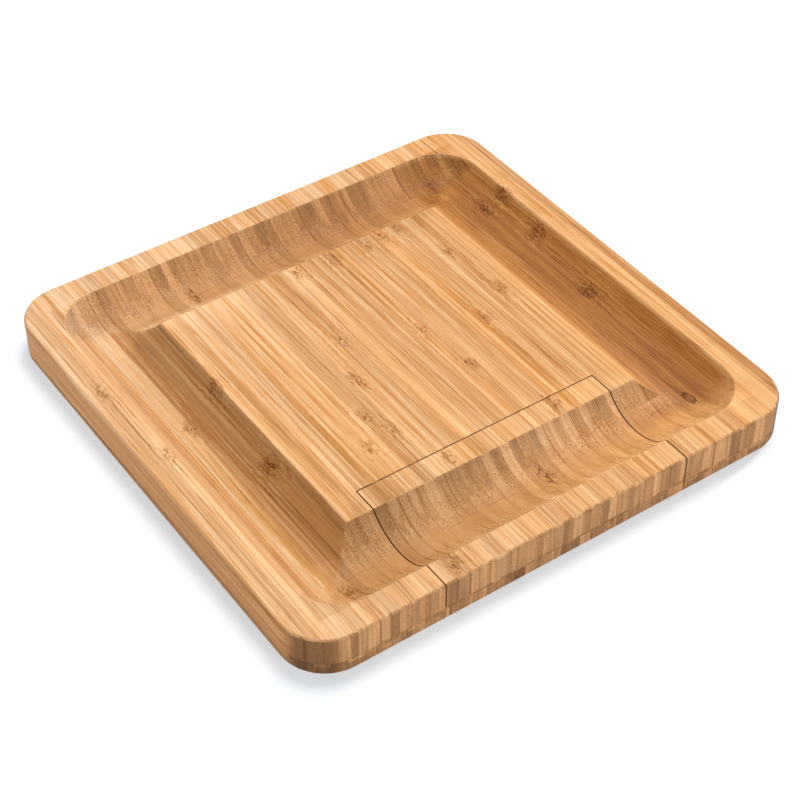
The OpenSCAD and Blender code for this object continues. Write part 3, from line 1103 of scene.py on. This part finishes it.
knife = {
    "neckWidth": 12.5 * mm,
    "handleRound": 2.6 * mm,
    "handleEdge": 0.3 * mm,
    "roundSteps": 6,
    "buttShare": 0.999,  # of half the width
    "buttSteps": 14,
    "tangWidth": 6 * mm,
    "tangGap": 0.1 * mm,
    "ferruleWaist": 0.93,
    "ferruleBand": 1.2 * mm,
    "bandStep": 1.4,  # the waist starts this many bands from the end
    "ferruleEdge": 0.25 * mm,
    "sharpAngle": 50,  # degrees, as is the blade's
    "bladeLength": 62 * mm,
    "bladeSharpAngle": 8,
    "edgeThickness": 0.35 * mm,
    "facingUp": 0.9,  # how upright the upper face's normal is at least
    "rootOverlap": 0.5 * mm,
    "merge": 0.02 * mm,
    "arcSteps": 10,
    "holeSides": 32,
}


def placeOf(name):
    # middle of the ferrule's front face, where the blade comes out
    low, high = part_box(name + "_ferrule")
    return Vector(((low.x + high.x) / 2, high.y, (low.z + high.z) / 2))


def cutTangSlot(piece, name):
    low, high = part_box(name + "_blade")
    gap, middle = knife["tangGap"], (low.x + high.x) / 2
    half = knife["tangWidth"] / 2 + gap
    slot = roundedBlock((middle - half, low.y - gap, low.z - gap),
                        (middle + half, placeOf(name).y + overlap, high.z + gap))
    join(piece, slot, "DIFFERENCE")


def makeHandle(name, material):
    low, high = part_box(name + "_handle")
    half = (high.x - low.x) / 2
    bm = boxMesh(low, high)
    butt = [e for e in bm.edges if all(v.co.y < low.y + near for v in e.verts) and reachOf(e) > near]
    roundOff(bm, butt, half * knife["buttShare"], knife["buttSteps"])
    neck = [v for v in bm.verts if v.co.y > high.y - near]
    middle = Matrix.Translation((-(low.x + high.x) / 2, 0, 0))
    bmesh.ops.scale(bm, vec=(knife["neckWidth"] / (2 * half), 1, 1), verts=neck, space=middle)
    rims = []
    for edge in bm.edges:
        atNeck = all(v.co.y > high.y - near for v in edge.verts)
        square = edge.calc_face_angle() > math.radians(knife["sharpAngle"])
        if reachOf(edge) < board["sharpCorner"] and not atNeck and square:
            rims.append(edge)
    roundOff(bm, rims, knife["handleRound"], knife["roundSteps"], True)
    handle = newPiece(name + "Handle", bm)
    cutTangSlot(handle, name)
    finishPiece(handle, "drawer", name + "_handle", material, knife["handleEdge"],
                sharp=knife["sharpAngle"])


def makeFerrule(name, material):
    low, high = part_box(name + "_ferrule")
    bm = boxMesh(low, high)
    roundOff(bm, [e for e in bm.edges if reachOf(e, 1) > near], knife["handleRound"], knife["roundSteps"])
    band, slack = knife["ferruleBand"], board["sharpCorner"]
    step = band * knife["bandStep"]
    cuts = (low.y + band, low.y + step, high.y - step, high.y - band)
    for y in cuts:
        everything = bm.verts[:] + bm.edges[:] + bm.faces[:]
        bmesh.ops.bisect_plane(bm, geom=everything, plane_co=(0, y, 0), plane_no=(0, 1, 0))
    waist = [v for v in bm.verts if cuts[1] - slack < v.co.y < cuts[2] + slack]
    centre = Matrix.Translation(-(low + high) / 2)
    bmesh.ops.scale(bm, vec=(knife["ferruleWaist"], 1, knife["ferruleWaist"]), verts=waist, space=centre)
    ferrule = newPiece(name + "Ferrule", bm)
    cutTangSlot(ferrule, name)
    finishPiece(ferrule, "drawer", name + "_ferrule", material, knife["ferruleEdge"],
                sharp=knife["sharpAngle"])


def follow(bm, *steps):
    # a line from the first place on: a place goes straight there, (centre, degrees) goes round
    tip = bm.verts.new((*steps[0], 0))
    for step in steps[1:]:
        if isinstance(step[0], tuple):
            centre, turn = step
            spun = bmesh.ops.spin(bm, geom=[tip], cent=(*centre, 0), axis=(0, 0, 1),
                                  angle=math.radians(turn), steps=knife["arcSteps"])
            tip = [v for v in spun["geom_last"] if isinstance(v, bmesh.types.BMVert)][0]
        else:
            onward = bm.verts.new((*step, 0))
            bm.edges.new((tip, onward))
            tip = onward


chisel = {
    "neckShare": 0.12,
    "tip": 3 * mm,
    "inset": 0.6 * mm,
    "grindFrom": 0.75,  # share of the length
}


def chiselHalf(bm, root, width, length):
    half, tip = width / 2, chisel["tip"]
    follow(bm, (0, 0), (root, 0), (root, chisel["neckShare"] * length),
           (half, length - tip), (half - tip, length), (0, length))


spade = {
    "leafShare": 0.8,
    "inset": 3.2 * mm,
    "grindFrom": 0.35,
}


def spadeHalf(bm, root, width, length):
    belly = width / 2
    leaf = spade["leafShare"] * length - belly
    middle = length - leaf
    sideRadius = (leaf ** 2 + belly ** 2) / (2 * belly)
    neck = middle - math.sqrt(belly ** 2 - root ** 2)
    follow(bm, (0, 0), (root, 0), (root, neck), ((0, middle), math.degrees(math.acos(root / belly))),
           ((belly - sideRadius, middle), math.degrees(math.asin(leaf / sideRadius))))


fork = {
    "gapShare": 0.15,  # half the gap between the tines, of the width
    "palmShare": 0.3,
    "cornerMiddle": 1.5 * mm,
    "inset": 0.9 * mm,
    "grindFrom": 0.45,
}


def forkHalf(bm, root, width, length):
    gap, palm, middle = fork["gapShare"] * width, fork["palmShare"] * length, fork["cornerMiddle"]
    tine, corner = width / 2 - gap, width / 2 - middle
    low = palm - corner / 2
    bottom = palm + corner + gap
    follow(bm, (0, 0), (root, 0), (root, low + corner - math.sqrt(corner ** 2 - (root - middle) ** 2)),
           ((middle, low + corner), math.degrees(math.acos((root - middle) / corner))),
           (width / 2, length - 2 * tine), (gap, length), (gap, bottom), ((0, bottom), -90))


slicer = {
    "neckShare": 0.14,
    "cornerShare": 0.35,
    "inset": 3 * mm,
    "grindFrom": 0.3,
    "holes": 4,
    "holeShare": 0.28,  # a hole's radius, of its share of the blade
}


def slicerHalf(bm, root, width, length):
    corner, low = slicer["cornerShare"] * width, slicer["neckShare"] * length
    side = width / 2 - corner
    follow(bm, (0, 0), (root, 0), (root, low), (side, low), ((side, low + corner), 90),
           (width / 2, length - corner), ((side, length - corner), 90), (0, length))


blades = {
    "chisel": (chiselHalf, chisel),
    "spade": (spadeHalf, spade),
    "fork": (forkHalf, fork),
    "slicer": (slicerHalf, slicer),
}


def makeBlade(name, material):
    drawHalf, shape = blades[name]
    low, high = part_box(name + "_blade")
    size = high - low
    length, thickness, root = knife["bladeLength"], size.z, knife["tangWidth"] / 2
    bm = bmesh.new()
    drawHalf(bm, root, size.x, length)
    outline = bm.verts[:] + bm.edges[:]
    bmesh.ops.mirror(bm, geom=outline, matrix=Matrix.Identity(4), merge_dist=knife["merge"], axis="X")
    bmesh.ops.remove_doubles(bm, verts=bm.verts, dist=knife["merge"])
    bmesh.ops.contextual_create(bm, geom=bm.edges[:])
    grown = bmesh.ops.extrude_face_region(bm, geom=bm.faces[:])
    raised = [v for v in grown["geom"] if isinstance(v, bmesh.types.BMVert)]
    bmesh.ops.translate(bm, vec=(0, 0, thickness), verts=raised)
    bmesh.ops.translate(bm, vec=(0, 0, -thickness / 2), verts=bm.verts)
    bmesh.ops.recalc_face_normals(bm, faces=bm.faces)

    # the rim of the upper face is ground down to the edge
    upper = [f for f in bm.faces if f.normal.z > knife["facingUp"]]
    rim = {v for f in upper for v in f.verts}
    bmesh.ops.inset_region(bm, faces=upper, thickness=shape["inset"], use_even_offset=True)
    for vert in rim:
        if vert.is_valid and vert.co.y > shape["grindFrom"] * length:
            vert.co.z = -thickness / 2 + knife["edgeThickness"]
    piece = newPiece(name + "Blade", bm)
    holes = shape.get("holes", 0)
    for i in range(holes):
        start = shape["neckShare"] * length
        step = (length - start) / holes
        pin = roundPin((0, start + (i + 0.5) * step, 0), shape["holeShare"] * step, thickness * 2)
        join(piece, pin, "DIFFERENCE")
    back = placeOf(name).y - low.y
    tang = roundedBlock((-root, -back, -thickness / 2), (root, knife["rootOverlap"], thickness / 2))
    join(piece, tang, "UNION")
    piece.data.transform(Matrix.Translation(placeOf(name)))
    finishPiece(piece, "drawer", name + "_blade", material,
                sharp=knife["bladeSharpAngle"])


def roundPin(centre, radius, height):
    bm = bmesh.new()
    bmesh.ops.create_cone(bm, cap_ends=True, segments=knife["holeSides"],
                          radius1=radius, radius2=radius, depth=height)
    bmesh.ops.translate(bm, vec=centre, verts=bm.verts)
    return newPiece("pin", bm)


makeDeck(bambooWood("bambooDeck", seed=3, boardTopFace=True))
makeBottom(bambooWood("bambooBottom", seed=8, phase=0.45, shade=0.92))
makeRunners(bambooWood("bambooRunner", seed=5, phase=0.2, shade=1.05))
makeDrawerTop(bambooWood("bambooDrawer", seed=12, endShade=1.08, boardTopFace=True))
makeDrawerFloor(bambooWood("bambooDrawerFloor", seed=21, phase=0.6, shade=0.92))
print("boards and drawer are made")

for index, name in enumerate(knifeNames):
    makeHandle(name, bambooWood(name + "Bamboo", seed=31 + index, phase=0.5, shade=0.82, endShade=0.9))
    makeFerrule(name, brushedSteel(name + "FerruleSteel", seed=index, lengthwise=False))
    makeBlade(name, brushedSteel(name + "BladeSteel", seed=11 + index, lengthwise=True))
print("knives are made")
